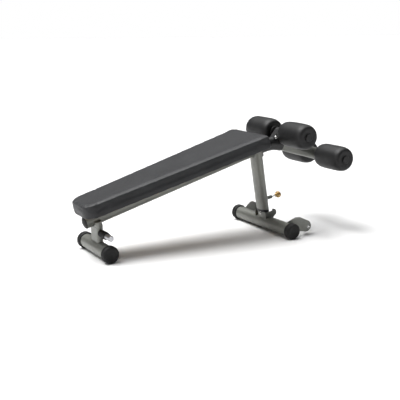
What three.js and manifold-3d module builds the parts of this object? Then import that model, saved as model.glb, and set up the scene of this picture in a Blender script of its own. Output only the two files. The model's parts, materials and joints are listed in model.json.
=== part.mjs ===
/**
 * Decline sit-up bench.
 *
 * A tapered pad slopes down from two pairs of foam leg rollers. It lies on one oval beam, which
 * stands on a short fixed post at the head end and on a telescoping post at the leg end. Both
 * bases are round cross tubes with round rubber feet, so they roll a little as the slope changes.
 *
 * Units are millimetres, +Z is up, +X runs from the head end to the leg end and +Y is the left
 * side of somebody who faces the rollers. Sizes are laid out from the axis of the low cross tube,
 * and the whole bench is then moved to stand with its box centred over the origin.
 */

import * as THREE from "three";
import { mergeVertices } from "three/addons/utils/BufferGeometryUtils.js";
import Module from "manifold-3d";

const wasm = await Module();
wasm.setup();

// ---------------------------------------------------------------------------------------------
// Driving dimensions
// ---------------------------------------------------------------------------------------------

const GAP = 0.3; // between pieces that touch
const RUNNING_GAP = 0.5; // around pieces that slide or turn

// Bases
const BASE_SPACING = 1068; // low to high cross tube axis
const CROSS_TUBE_D = 76;
const CROSS_TUBE_WALL = 3;
const LOW_BASE_WIDTH = 364; // over the feet
const HIGH_BASE_WIDTH = 580;
const FOOT_WALL = 7.5; // rubber round the tube
const FOOT_D = CROSS_TUBE_D + 2 * FOOT_WALL;
const FOOT_LENGTH = 40;
const FOOT_END = 7; // rubber past the tube's end

// Pad
const SLOPE = THREE.MathUtils.degToRad(15.6);
const PAD_LOW_X = -107; // upper edge of the pad's low end
const PAD_LOW_Z = 289.7;
const PAD_LENGTH = 1110;
const PAD_HEAD_WIDTH = 240;
const PAD_LEG_WIDTH = 375;
const PAD_THICKNESS = 72;
const PAD_HEAD_CORNER = 70;
const PAD_LEG_CORNER = 26;
const BOARD_THICKNESS = 15;
const BOARD_INSET = 8;

// Beam and pad plates
const BEAM_WIDTH = 54;
const BEAM_DEPTH = 70;
const BEAM_WALL = 3;
const BEAM_START = 14; // along the slope from the pad's low end
const BEND_START = PAD_LENGTH + 60;
const BEND_RADIUS = 235;
const ARM_PAST_AXLE = 32;
const BEAM_CAP = { plug: 18, dome: 14 };
const ARM_CAP = { plug: 10, dome: 8 };
const PLATE_THICKNESS = 4;
const PLATE_LENGTH = 60;
const PLATE_WIDTH = 170;
const PLATE_STATIONS = { low: 210, high: PAD_LENGTH - 250 };
const PLATE_RIB_THICKNESS = 6;
const PLATE_RIB_WIDTH = 84;
const PLATE_RIB_DEPTH = 22;
const PAD_SCREW_D = 8;
const PAD_SCREW_SPREAD = 130;
const PAD_SCREW_BITE = 11; // length inside the board

// Low post and its side handle
const LOW_POST_WIDTH = 106;
const LOW_POST_DEPTH = 35;
const POST_WALL = 3;
const POST_SADDLE_FLOOR = 4; // under the beam
const POST_SADDLE_RISE = 26; // beside the beam, above its underside
const HANDLE_HEIGHT = 133;
const HANDLE_BAR_D = 25;
const HANDLE_REACH = 187; // from the middle of the bench
const HANDLE_GRIP_D = 40;
const HANDLE_END_D = 30;
const HANDLE_END_LENGTH = 58;
const HANDLE_END_COVER = 8; // past the bar's end

// Telescoping post
const POST_LEAN = THREE.MathUtils.degToRad(9.6);
const OUTER_POST_WIDTH = 106;
const OUTER_POST_DEPTH = 52;
const OUTER_POST_START = 84; // up the post from the high cross tube's axis
const COLLAR_FLANGE = 15;
const COLLAR_SLEEVE = 36;
const COLLAR_THICKNESS = 2;
const LEG_TOP_CLEARANCE = 72; // under the beam's centre line
const LEG_WALL = 3;
const LEG_BOLT_HEIGHT = 56;
const LEG_BOLT_D = 10;
const HOLE_D = 11;
const HOLE_PITCH = 30;
const HOLE_COUNT = 6;

// Pull pin
const PIN_HEIGHT = 133; // up the post from the high cross tube's axis
const PIN_D = 10;
const PIN_TIP_CLEARANCE = 0.5; // from the leg, with the pin drawn back just clear of its hole
const PIN_LOCK_STROKE = 4.5; // from there into the hole
const PIN_FREE_STROKE = 5.5; // from there farther out
const HOUSING_D = 20;
const HOUSING_LENGTH = 46; // out of the outer post
const HOUSING_WALL = 2.4;
const PIN_SEAT_D = 14;
const PIN_SEAT_LENGTH = 4;
const PIN_SEAT_OUT = 8; // out of the outer post
const PIN_ROD_COVER = 14; // knob past the rod's end
const SPRING_WIRE_D = 1.2;
const SPRING_TURNS = 4;
const KNOB_D = 38;
const KNOB_LENGTH = 34;
const KNOB_REACH = 133; // outer end, from the post's middle

// Foot gussets
const GUSSET_THICKNESS = 6;
const GUSSET_CLEARANCE = 1.5; // beside the leg
const GUSSET_LUG_RADIUS = 22;
const GUSSET_FRONT = -33; // from the cross tube's axis
const GUSSET_WAIST = 20;
const GUSSET_UNDER_COLLAR = 1.5;

// Transport wheels
const WHEEL_D = 60;
const WHEEL_WIDTH = 22;
const WHEEL_BORE = 11;
const WHEEL_OUT = 138; // behind the high cross tube's axis
const WHEEL_HEIGHT = 47.5;
const WHEEL_SIDE_GAP = 2;
const BRACKET_THICKNESS = 6;
const BRACKET_OUTER_Y = HIGH_BASE_WIDTH / 2 - FOOT_LENGTH - 8;
const BRACKET_FLARE = 24;
const BRACKET_FOLD_OUT = 80;
const BRACKET_ROOT = { out: 10, low: -22, high: 40 }; // heights from the cross tube's axis
const BRACKET_FOLD = { low: -17, high: 65 };
const BRACKET_EAR = { reach: 20, low: -27, high: 33 }; // from the wheel bolt
const WHEEL_BOLT_D = 10;

// Leg rollers
const UPPER_AXLE_PLACE = { pastPad: 193.4, belowPadTop: 73.8 };
const LOWER_AXLE_PLACE = { pastPad: 418.4, belowPadTop: 291.2 };
const AXLE_D = 32;
const AXLE_WALL = 3;
const ROLLER_D = 146;
const ROLLER_END_D = 100;
const ROLLER_LENGTH = 218;
const ROLLER_OUTER_Y = 276;
const CORE_WALL = 5;
const CORE_FLANGE_D = AXLE_D + 32;
const CORE_FLANGE_LENGTH = 8;
const AXLE_CAP_D = AXLE_D + 14;
const AXLE_CAP_LENGTH = 6;
const AXLE_BRACKET_WIDTH = 44;
const AXLE_BOSS_RADIUS = 27;
const AXLE_FOOT = { front: -60, back: 36, below: -76 }; // from the upper axle, inside the beam
const AXLE_NECK = { front: -62, frontBelow: -34, back: 40, backBelow: -34 };
const AXLE_SLEEVE_WALL = 3.6;
const AXLE_SLEEVE_PAST_POST = 3;
const AXLE_BOLT_D = 10;
const AXLE_BOLT_PLACE = { front: -45, below: -24 };

// Bolts
const BOLT_HEAD_RATIO = 1.8; // head to shank diameter
const BOLT_HEAD_HEIGHT = 6;
const BOLT_REACH = 12; // past the face its head lies on
const NUT_RATIO = 1.9; // across corners to bolt diameter
const NUT_HEIGHT = 9;

// Facets
const ROUND = 24;
const SMALL_ROUND = 12;
const ROLLER_ROUND = 20;
const BEND_STEPS = 6;

// ---------------------------------------------------------------------------------------------
// Materials
// ---------------------------------------------------------------------------------------------

const finish = (color, roughness, metalness) => () =>
  new THREE.MeshStandardMaterial({ color, roughness, metalness });

const FRAME_PAINT = finish(0x6f716b, 0.45, 0.5);
const BLACK_PAINT = finish(0x232324, 0.5, 0.3);
const BLACK_PLASTIC = finish(0x1c1c1d, 0.55, 0);
const BLACK_RUBBER = finish(0x202020, 0.8, 0);
const FOAM_SKIN = finish(0x2a2a2b, 0.6, 0);
const PAD_VINYL = finish(0x4a4b4e, 0.55, 0);
const PLYWOOD = finish(0x9c7a4d, 0.8, 0);
const BRIGHT_STEEL = finish(0xd5d5d2, 0.25, 1);
const ALUMINIUM = finish(0xc4c4c6, 0.35, 0.9);
const GOLD_KNOB = finish(0xb98a3e, 0.4, 0.3);

// ---------------------------------------------------------------------------------------------
// Solids, outlines and placing
// ---------------------------------------------------------------------------------------------

/** Turns a closed three.js geometry into a solid that can be joined and cut. */
function solid(geometry, matrix = new THREE.Matrix4()) {
  const bare = geometry.clone().applyMatrix4(matrix);
  bare.deleteAttribute("normal");
  bare.deleteAttribute("uv");
  const merged = mergeVertices(bare, 1e-4);
  const corners = merged.index.array;
  const kept = [];
  for (let i = 0; i < corners.length; i += 3) {
    const [a, b, c] = [corners[i], corners[i + 1], corners[i + 2]];
    if (a !== b && b !== c && c !== a) kept.push(a, b, c);
  }
  const mesh = new wasm.Mesh({
    numProp: 3,
    vertProperties: new Float32Array(merged.attributes.position.array),
    triVerts: new Uint32Array(kept),
  });
  return new wasm.Manifold(mesh);
}

/** Turns a solid back into a three.js geometry. */
function geometryOf(body) {
  const mesh = body.getMesh();
  const geometry = new THREE.BufferGeometry();
  geometry.setAttribute("position", new THREE.BufferAttribute(mesh.vertProperties, 3));
  geometry.setIndex(new THREE.BufferAttribute(mesh.triVerts, 1));
  geometry.computeVertexNormals();
  return geometry;
}

const bench = new THREE.Group();

/** Adds one named piece to the bench. */
function addPiece(name, shape, material) {
  const geometry = shape.isBufferGeometry ? shape : geometryOf(shape);
  const piece = new THREE.Mesh(geometry, material());
  piece.name = name;
  bench.add(piece);
  return piece;
}

const vector = (x, y, z) => new THREE.Vector3(x, y, z);

/** A placing whose local X, Y and Z run along three given directions. */
function frameAt(origin, xAxis, yAxis, zAxis) {
  return new THREE.Matrix4().makeBasis(xAxis, yAxis, zAxis).setPosition(origin);
}

const moved = (x, y, z) => new THREE.Matrix4().makeTranslation(x, y, z);

/** Placing of an outline drawn as seen from the right side: X along the bench, Y up. */
function sideways(x, y, z) {
  return frameAt(vector(x, y, z), vector(1, 0, 0), vector(0, 0, 1), vector(0, -1, 0));
}

function ellipse(width, height, segments = ROUND) {
  const shape = new THREE.Shape();
  const points = [];
  for (let i = 0; i < segments; i += 1) {
    const angle = (2 * Math.PI * i) / segments;
    points.push(new THREE.Vector2((width / 2) * Math.cos(angle), (height / 2) * Math.sin(angle)));
  }
  return shape.setFromPoints(points);
}

/** A flat oval: two straight sides joined by half circles, long along Y. */
function flatOval(depth, width) {
  const radius = depth / 2;
  const straight = width / 2 - radius;
  const shape = new THREE.Shape();
  shape.absarc(0, straight, radius, 0, Math.PI, false);
  shape.absarc(0, -straight, radius, Math.PI, 2 * Math.PI, false);
  return shape;
}

function extrude(shape, depth, curveSegments = ROUND / 2) {
  return new THREE.ExtrudeGeometry(shape, { depth, bevelEnabled: false, curveSegments });
}

function bar(diameter, length, segments = SMALL_ROUND) {
  return new THREE.CylinderGeometry(diameter / 2, diameter / 2, length, segments);
}

/** A round solid about local Y from [radius, height] points that start and end on the axis. */
function turned(profile, segments = ROUND) {
  const points = profile.map(([radius, height]) => new THREE.Vector2(radius, height));
  return new THREE.LatheGeometry(points, segments);
}

/** A ring about local Y: outer and inner radius between two heights. */
function ring(outer, inner, low, high, segments = ROUND) {
  return turned([[inner, low], [outer, low], [outer, high], [inner, high], [inner, low]], segments);
}

/** A dome-headed bolt about local Y: a shank from its low end up to the seat, a head above it. */
function domeBolt(diameter, low, seat) {
  const radius = diameter / 2;
  const head = radius * BOLT_HEAD_RATIO;
  return turned(
    [
      [0, low],
      [radius, low],
      [radius, seat],
      [head, seat],
      [head, seat + 0.4 * BOLT_HEAD_HEIGHT],
      [0.65 * head, seat + 0.9 * BOLT_HEAD_HEIGHT],
      [0, seat + BOLT_HEAD_HEIGHT],
    ],
    SMALL_ROUND,
  );
}

/** A hexagonal nut about local Y, between two heights. */
function hexNut(acrossCorners, boreDiameter, low, high) {
  const shape = ellipse(acrossCorners, acrossCorners, 6);
  shape.holes.push(ellipse(boreDiameter, boreDiameter, SMALL_ROUND));
  return extrude(shape, high - low).rotateX(-Math.PI / 2).translate(0, low, 0);
}

/** A path that a sweep follows with one step from each point to the next. */
class StationPath extends THREE.Curve {
  constructor(points) {
    super();
    this.points = points;
  }

  getPoint(t, target = new THREE.Vector3()) {
    const spans = this.points.length - 1;
    const span = Math.max(0, Math.min(Math.floor(t * spans + 1e-9), spans - 1));
    return target.lerpVectors(this.points[span], this.points[span + 1], t * spans - span);
  }

  getUtoTmapping(u) {
    return u;
  }
}

function sweep(shape, points) {
  const extrudePath = new StationPath(points);
  return new THREE.ExtrudeGeometry(shape, { steps: points.length - 1, extrudePath });
}

const Y_AXIS = vector(0, 1, 0);
const AXIS_Z = FOOT_D / 2; // height of both cross tube axes
const SIDES = { left: 1, right: -1 };

// ---------------------------------------------------------------------------------------------
// Slope: everything that follows the pad
// ---------------------------------------------------------------------------------------------

const slopeAlong = vector(Math.cos(SLOPE), 0, Math.sin(SLOPE));
const slopeUp = vector(-Math.sin(SLOPE), 0, Math.cos(SLOPE));

/** A point at a distance along the slope, to the left, and above the pad's top plane. */
function onSlope(along, left, above) {
  return vector(PAD_LOW_X, left, PAD_LOW_Z)
    .addScaledVector(slopeAlong, along)
    .addScaledVector(slopeUp, above);
}

/** Centre of a roller axle that is set out from the pad's leg end. */
function axleCentre(place) {
  return onSlope(PAD_LENGTH + place.pastPad, 0, -place.belowPadTop);
}

const UPPER_AXLE = axleCentre(UPPER_AXLE_PLACE);
const LOWER_AXLE = axleCentre(LOWER_AXLE_PLACE);
const PAD_UNDERSIDE = -PAD_THICKNESS;
const PLATE_TOP = PAD_UNDERSIDE - GAP;
const BEAM_TOP = PLATE_TOP - PLATE_THICKNESS - GAP;
const BEAM_MIDDLE = BEAM_TOP - BEAM_DEPTH / 2;
const BEAM_UNDERSIDE = BEAM_TOP - BEAM_DEPTH;

/** Half the pad's width at a distance along the slope. */
function padHalfWidth(along) {
  const share = along / PAD_LENGTH;
  return (PAD_HEAD_WIDTH + (PAD_LEG_WIDTH - PAD_HEAD_WIDTH) * share) / 2;
}

/** The pad's outline, drawn in by an inset, with rounded corners. */
function padOutline(inset) {
  const low = inset;
  const high = PAD_LENGTH - inset;
  const headHalf = padHalfWidth(low) - inset;
  const legHalf = padHalfWidth(high) - inset;
  const headCorner = PAD_HEAD_CORNER - inset;
  const legCorner = PAD_LEG_CORNER - inset;
  const taper = Math.atan2(legHalf - headHalf, high - low);
  const shape = new THREE.Shape();
  const headCentre = headHalf - headCorner * Math.tan(Math.PI / 4 - taper / 2) * Math.cos(taper);
  const quarter = Math.PI / 2;
  shape.absarc(low + headCorner, -headCentre, headCorner, Math.PI, 3 * quarter - taper, false);
  shape.absarc(high - legCorner, -(legHalf - legCorner), legCorner, 3 * quarter - taper, 0, false);
  shape.absarc(high - legCorner, legHalf - legCorner, legCorner, 0, quarter + taper, false);
  shape.absarc(low + headCorner, headCentre, headCorner, quarter + taper, Math.PI, false);
  return shape;
}

/** Placing of an outline drawn along and across the slope, at a height above the pad's top. */
const onPad = (above) => frameAt(onSlope(0, 0, above), slopeAlong, Y_AXIS, slopeUp);

function addPad() {
  const cushion = solid(extrude(padOutline(0), PAD_THICKNESS, 8), onPad(PAD_UNDERSIDE));
  const pocket = solid(
    extrude(padOutline(BOARD_INSET - GAP), BOARD_THICKNESS + GAP + 1, 8),
    onPad(PAD_UNDERSIDE - 1),
  );
  addPiece("pad_cushion", cushion.subtract(pocket), PAD_VINYL);

  let board = solid(extrude(padOutline(BOARD_INSET), BOARD_THICKNESS, 8), onPad(PAD_UNDERSIDE));
  for (const place of screwPlaces()) {
    const hole = bar(PAD_SCREW_D + 2 * GAP, 2 * (PAD_SCREW_BITE + GAP));
    board = board.subtract(solid(hole, frameUnder(onSlope(place.along, place.left, PAD_UNDERSIDE))));
  }
  addPiece("pad_board", board, PLYWOOD);
}

const slopeDown = slopeUp.clone().negate();

/** Placing that points local Y down, square to the slope. */
const frameUnder = (origin) => frameAt(origin, slopeAlong, slopeDown, Y_AXIS);

function screwPlaces() {
  const places = [];
  for (const [end, along] of Object.entries(PLATE_STATIONS)) {
    for (const [side, sign] of Object.entries(SIDES)) {
      places.push({ name: `pad_screw_${end}_${side}`, along, left: (sign * PAD_SCREW_SPREAD) / 2 });
    }
  }
  return places;
}

/** Welded cross plates between beam and pad: a flat top on a rib that fits round the beam. */
function addPadPlates() {
  for (const [end, along] of Object.entries(PLATE_STATIONS)) {
    const middle = PLATE_TOP - PLATE_THICKNESS / 2;
    const flat = new THREE.BoxGeometry(PLATE_LENGTH, PLATE_WIDTH, PLATE_THICKNESS);
    const rib = new THREE.BoxGeometry(PLATE_RIB_THICKNESS, PLATE_RIB_WIDTH, PLATE_RIB_DEPTH);
    const ribMiddle = PLATE_TOP - 1 - PLATE_RIB_DEPTH / 2;
    let plate = solid(flat, frameAt(onSlope(along, 0, middle), slopeAlong, Y_AXIS, slopeUp));
    plate = plate.add(solid(rib, frameAt(onSlope(along, 0, ribMiddle), slopeAlong, Y_AXIS, slopeUp)));
    plate = plate.subtract(beamSolid(GAP));
    for (const place of screwPlaces().filter((screw) => screw.along === along)) {
      const hole = bar(PAD_SCREW_D + 1, 4 * PLATE_THICKNESS);
      plate = plate.subtract(solid(hole, frameUnder(onSlope(along, place.left, middle))));
    }
    addPiece(`pad_plate_${end}`, plate, FRAME_PAINT);
  }
}

function addPadScrews() {
  const seat = PLATE_THICKNESS + 2 * GAP;
  for (const place of screwPlaces()) {
    const screw = addPiece(place.name, domeBolt(PAD_SCREW_D, -PAD_SCREW_BITE, seat), BRIGHT_STEEL);
    screw.applyMatrix4(frameUnder(onSlope(place.along, place.left, PAD_UNDERSIDE)));
  }
}

// ---------------------------------------------------------------------------------------------
// Beam, its bend down to the lower axle, and its end caps
// ---------------------------------------------------------------------------------------------

/** Points and end directions of the beam's centre line. */
function beamLine() {
  const start = onSlope(BEAM_START, 0, BEAM_MIDDLE);
  const bendStart = onSlope(BEND_START, 0, BEAM_MIDDLE);
  const centre = bendStart.clone().addScaledVector(slopeUp, -BEND_RADIUS);
  const reach = LOWER_AXLE.clone().sub(centre);
  const drop = Math.asin(BEND_RADIUS / reach.length()) - Math.atan2(reach.z, reach.x);
  const armAlong = vector(Math.cos(drop), 0, -Math.sin(drop));
  const armUp = vector(Math.sin(drop), 0, Math.cos(drop));
  const points = [start];
  for (let i = 0; i <= BEND_STEPS; i += 1) {
    const angle = SLOPE - ((SLOPE + drop) * i) / BEND_STEPS;
    points.push(
      vector(centre.x - BEND_RADIUS * Math.sin(angle), 0, centre.z + BEND_RADIUS * Math.cos(angle)),
    );
  }
  const end = LOWER_AXLE.clone().addScaledVector(armAlong, ARM_PAST_AXLE);
  points.push(end);
  return { points, start, end, armAlong, armUp };
}

const beam = beamLine();

/** The beam's outside, grown by a margin, or its bore where the margin is minus the wall. */
function beamSolid(margin) {
  const points = [...beam.points];
  if (margin < 0) {
    points[0] = beam.start.clone().addScaledVector(slopeAlong, -1);
    points[points.length - 1] = beam.end.clone().addScaledVector(beam.armAlong, 1);
  }
  return solid(sweep(ellipse(BEAM_WIDTH + 2 * margin, BEAM_DEPTH + 2 * margin), points));
}

function addBeam() {
  const axleHole = bar(AXLE_D + 2 * GAP, 2 * BEAM_WIDTH, ROUND);
  const tube = beamSolid(0)
    .subtract(beamSolid(-BEAM_WALL))
    .subtract(solid(axleHole, moved(LOWER_AXLE.x, 0, LOWER_AXLE.z)));
  addPiece("main_beam", tube, FRAME_PAINT);
}

/** A domed cap with a plug inside the beam, about local Z, which points out of the beam. */
function endCap(cap) {
  const plug = ellipse(BEAM_WIDTH - 2 * (BEAM_WALL + GAP), BEAM_DEPTH - 2 * (BEAM_WALL + GAP));
  const profile = [[0, 0], [1, 0]];
  const domeSteps = 5;
  for (let i = 1; i < domeSteps; i += 1) {
    const angle = (Math.PI / 2) * (i / domeSteps);
    profile.push([Math.cos(angle), Math.sin(angle)]);
  }
  profile.push([0, 1]);
  const dome = turned(profile)
    .scale(BEAM_WIDTH / 2, cap.dome, BEAM_DEPTH / 2)
    .rotateX(Math.PI / 2);
  return solid(dome, moved(0, 0, GAP)).add(solid(extrude(plug, cap.plug + 1), moved(0, 0, -cap.plug)));
}

function addBeamCaps() {
  const lowFrame = frameAt(beam.start, Y_AXIS.clone().negate(), slopeUp, slopeAlong.clone().negate());
  const armFrame = frameAt(beam.end, Y_AXIS, beam.armUp, beam.armAlong);
  addPiece("beam_end_cap", endCap(BEAM_CAP), BLACK_PLASTIC).applyMatrix4(lowFrame);
  addPiece("arm_end_cap", endCap(ARM_CAP), BLACK_PLASTIC).applyMatrix4(armFrame);
}

// ---------------------------------------------------------------------------------------------
// Cross tubes and rubber feet
// ---------------------------------------------------------------------------------------------

const crossTubeEnd = (width) => width / 2 - FOOT_END;

/** A cross tube's outside, grown by the touching gap, at a distance along the bench. */
function crossTubeSolid(x, width) {
  return solid(bar(CROSS_TUBE_D + 2 * GAP, width, ROUND), moved(x, 0, AXIS_Z));
}

function addCrossTube(name, x, width) {
  const radius = CROSS_TUBE_D / 2;
  const end = crossTubeEnd(width);
  const tube = addPiece(name, ring(radius, radius - CROSS_TUBE_WALL, -end, end), FRAME_PAINT);
  tube.position.set(x, 0, AXIS_Z);
}

/** A rubber cup that slips over the tube's end, fullest in the middle of its length. */
function addFoot(name, x, width, sign) {
  const full = FOOT_D / 2;
  const bore = CROSS_TUBE_D / 2 + GAP;
  const profile = [
    [0, 0],
    [full - 9, 0],
    [full - 3, 3],
    [full, 11],
    [full, FOOT_LENGTH - 10],
    [full - 3, FOOT_LENGTH],
    [bore, FOOT_LENGTH],
    [bore, FOOT_END - GAP],
    [0, FOOT_END - GAP],
  ];
  const foot = addPiece(name, turned(profile), BLACK_RUBBER);
  foot.position.set(x, (sign * width) / 2, AXIS_Z);
  foot.rotation.x = sign > 0 ? Math.PI : 0;
}

function addBases() {
  const bases = { low: [0, LOW_BASE_WIDTH], high: [BASE_SPACING, HIGH_BASE_WIDTH] };
  for (const [end, [x, width]] of Object.entries(bases)) {
    addCrossTube(`${end}_cross_tube`, x, width);
    for (const [side, sign] of Object.entries(SIDES)) {
      addFoot(`${end}_foot_${side}`, x, width, sign);
    }
  }
}

// ---------------------------------------------------------------------------------------------
// Low post and side handle
// ---------------------------------------------------------------------------------------------

/** How far along the slope, measured under the beam, an upright line at x crosses it. */
function alongUnderBeam(x) {
  return (x - onSlope(0, 0, BEAM_UNDERSIDE).x) / Math.cos(SLOPE);
}

/** A block that removes everything above a post saddle's underside. */
function aboveSaddleCutter(along) {
  const size = 400;
  const above = BEAM_UNDERSIDE - 2 * GAP - POST_SADDLE_FLOOR + size / 2;
  return solid(
    new THREE.BoxGeometry(size, size, size),
    frameAt(onSlope(along, 0, above), slopeAlong, Y_AXIS, slopeUp),
  );
}

/** The flat oval block that closes a post's top and is hollowed out to carry the beam. */
function addPostSaddle(name, along, depth, width) {
  const above = BEAM_UNDERSIDE - GAP - POST_SADDLE_FLOOR;
  const block = solid(
    extrude(flatOval(depth, width), POST_SADDLE_FLOOR + POST_SADDLE_RISE),
    frameAt(onSlope(along, 0, above), slopeAlong, Y_AXIS, slopeUp),
  );
  addPiece(name, block.subtract(beamSolid(GAP)), FRAME_PAINT);
}

function addLowPost() {
  const tall = 300;
  const outside = solid(extrude(flatOval(LOW_POST_DEPTH, LOW_POST_WIDTH), tall), moved(0, 0, AXIS_Z));
  const bore = flatOval(LOW_POST_DEPTH - 2 * POST_WALL, LOW_POST_WIDTH - 2 * POST_WALL);
  const along = alongUnderBeam(0);
  const post = outside
    .subtract(solid(extrude(bore, tall + 2), moved(0, 0, AXIS_Z - 1)))
    .subtract(crossTubeSolid(0, LOW_BASE_WIDTH))
    .subtract(aboveSaddleCutter(along));
  addPiece("low_post", post, FRAME_PAINT);
  addPostSaddle("low_post_saddle", along, LOW_POST_DEPTH / Math.cos(SLOPE), LOW_POST_WIDTH);
}

/** Lift handle on the right side of the low post: bar, rubber grip and bright end. */
function addHandle() {
  const postFace = LOW_POST_WIDTH / 2;
  const barEnd = HANDLE_REACH - HANDLE_END_COVER;
  const gripStart = postFace + GAP;
  const endStart = HANDLE_REACH - HANDLE_END_LENGTH;
  const bore = HANDLE_BAR_D / 2 + GAP;
  const barStart = postFace - LOW_POST_DEPTH / 2;

  const rod = solid(
    bar(HANDLE_BAR_D, barEnd - barStart, ROUND),
    moved(0, -(barStart + barEnd) / 2, HANDLE_HEIGHT),
  );
  const postOutline = flatOval(LOW_POST_DEPTH + 2 * GAP, LOW_POST_WIDTH + 2 * GAP);
  const postOutside = solid(
    extrude(postOutline, 4 * HANDLE_GRIP_D),
    moved(0, 0, HANDLE_HEIGHT - 2 * HANDLE_GRIP_D),
  );
  addPiece("handle_bar", rod.subtract(postOutside), BRIGHT_STEEL);

  const grip = HANDLE_GRIP_D / 2;
  const gripProfile = [
    [bore, gripStart],
    [grip - 2, gripStart],
    [grip, gripStart + 3],
    [grip, endStart - GAP - 4],
    [grip - 3, endStart - GAP],
    [bore, endStart - GAP],
    [bore, gripStart],
  ];
  const end = HANDLE_END_D / 2;
  const endProfile = [
    [bore, endStart],
    [end, endStart],
    [end, HANDLE_REACH - 4],
    [end - 1.5, HANDLE_REACH - 1],
    [end - 4, HANDLE_REACH],
    [0, HANDLE_REACH],
    [0, barEnd + GAP],
    [bore, barEnd + GAP],
    [bore, endStart],
  ];
  for (const [name, profile, material] of [
    ["handle_grip", gripProfile, BLACK_RUBBER],
    ["handle_end", endProfile, ALUMINIUM],
  ]) {
    const piece = addPiece(name, turned(profile), material);
    piece.rotation.x = Math.PI;
    piece.position.z = HANDLE_HEIGHT;
  }
}

// ---------------------------------------------------------------------------------------------
// Telescoping post
// ---------------------------------------------------------------------------------------------

const postUp = vector(-Math.sin(POST_LEAN), 0, Math.cos(POST_LEAN));
const postOut = vector(Math.cos(POST_LEAN), 0, Math.sin(POST_LEAN));

/** Placing on the post's axis at a height up from the high cross tube: Y across, Z up the post. */
function onPost(height, out = 0) {
  const origin = vector(BASE_SPACING, 0, AXIS_Z)
    .addScaledVector(postUp, height)
    .addScaledVector(postOut, out);
  return frameAt(origin, postOut, Y_AXIS, postUp);
}

/** Placing that points local Y out of the post, square to it. */
function outOfPost(height, out) {
  const origin = new THREE.Vector3().setFromMatrixPosition(onPost(height, out));
  return frameAt(origin, postUp, postOut, Y_AXIS);
}

const LEG_WIDTH = OUTER_POST_WIDTH - 2 * (POST_WALL + GAP + COLLAR_THICKNESS + RUNNING_GAP);
const LEG_DEPTH = OUTER_POST_DEPTH - 2 * (POST_WALL + GAP + COLLAR_THICKNESS + RUNNING_GAP);

/** How far up the post's axis the beam's centre line crosses it. */
function postReach() {
  const foot = new THREE.Vector3().setFromMatrixPosition(onPost(0));
  const toBeam = onSlope(0, 0, BEAM_MIDDLE).sub(foot);
  return toBeam.dot(slopeUp) / postUp.dot(slopeUp);
}

const POST_REACH = postReach();
const LEG_TOP = POST_REACH - LEG_TOP_CLEARANCE;

function ovalPrism(width, depth, low, high) {
  return solid(extrude(ellipse(depth, width), high - low), onPost(low));
}

/** How far along the slope the post's axis crosses the beam's centre line. */
const HIGH_SADDLE_ALONG = new THREE.Vector3()
  .setFromMatrixPosition(onPost(POST_REACH))
  .sub(onSlope(0, 0, BEAM_MIDDLE))
  .dot(slopeAlong);
const HIGH_SADDLE_DEPTH = OUTER_POST_DEPTH / Math.cos(SLOPE - POST_LEAN);

function addOuterPost() {
  const pinHole = bar(PIN_D + 2 * RUNNING_GAP, OUTER_POST_DEPTH);
  const boreWidth = OUTER_POST_WIDTH - 2 * POST_WALL;
  const boreDepth = OUTER_POST_DEPTH - 2 * POST_WALL;
  const post = ovalPrism(OUTER_POST_WIDTH, OUTER_POST_DEPTH, OUTER_POST_START, POST_REACH)
    .subtract(ovalPrism(boreWidth, boreDepth, 0, POST_REACH + 1))
    .subtract(aboveSaddleCutter(HIGH_SADDLE_ALONG))
    .subtract(solid(pinHole, outOfPost(PIN_HEIGHT, OUTER_POST_DEPTH / 2)));
  addPiece("outer_post", post, FRAME_PAINT);
  addPostSaddle("high_post_saddle", HIGH_SADDLE_ALONG, HIGH_SADDLE_DEPTH, OUTER_POST_WIDTH);
}

/** Plastic bush in the outer post's mouth, with a flange under the tube. */
function addCollar() {
  const sleeveTop = OUTER_POST_START + COLLAR_SLEEVE;
  const flangeTop = OUTER_POST_START - GAP;
  const fit = 2 * (POST_WALL + GAP);
  const collar = ovalPrism(OUTER_POST_WIDTH - 1, OUTER_POST_DEPTH - 1, flangeTop - COLLAR_FLANGE, flangeTop)
    .add(ovalPrism(OUTER_POST_WIDTH - fit, OUTER_POST_DEPTH - fit, flangeTop - 1, sleeveTop))
    .subtract(ovalPrism(LEG_WIDTH + 2 * RUNNING_GAP, LEG_DEPTH + 2 * RUNNING_GAP, 0, sleeveTop + 1));
  addPiece("post_collar", collar, BLACK_PLASTIC);
}

function addLeg() {
  let leg = ovalPrism(LEG_WIDTH, LEG_DEPTH, 0, LEG_TOP)
    .subtract(ovalPrism(LEG_WIDTH - 2 * LEG_WALL, LEG_DEPTH - 2 * LEG_WALL, -1, LEG_TOP + 1))
    .subtract(crossTubeSolid(BASE_SPACING, HIGH_BASE_WIDTH))
    .subtract(belowAxisCutter());
  for (let i = 0; i < HOLE_COUNT; i += 1) {
    const hole = bar(HOLE_D, LEG_DEPTH / 2);
    leg = leg.subtract(solid(hole, outOfPost(PIN_HEIGHT + i * HOLE_PITCH, LEG_DEPTH / 2)));
  }
  const boltHole = bar(LEG_BOLT_D + 2 * GAP, LEG_DEPTH / 2);
  leg = leg.subtract(solid(boltHole, outOfPost(LEG_BOLT_HEIGHT, -LEG_DEPTH / 2)));
  addPiece("inner_leg", leg, FRAME_PAINT);

  const inward = outOfPost(LEG_BOLT_HEIGHT, -LEG_DEPTH / 2);
  inward.multiply(new THREE.Matrix4().makeRotationX(Math.PI));
  addPiece("leg_bolt", domeBolt(LEG_BOLT_D, -BOLT_REACH, GAP), BRIGHT_STEEL).applyMatrix4(inward);
}

/** Removes what reaches below the high cross tube's axis. */
function belowAxisCutter() {
  const size = 300;
  return solid(new THREE.BoxGeometry(size, size, size), moved(BASE_SPACING, 0, AXIS_Z - size / 2));
}

// ---------------------------------------------------------------------------------------------
// Pull pin: measured out from the post's axis
// ---------------------------------------------------------------------------------------------

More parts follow.
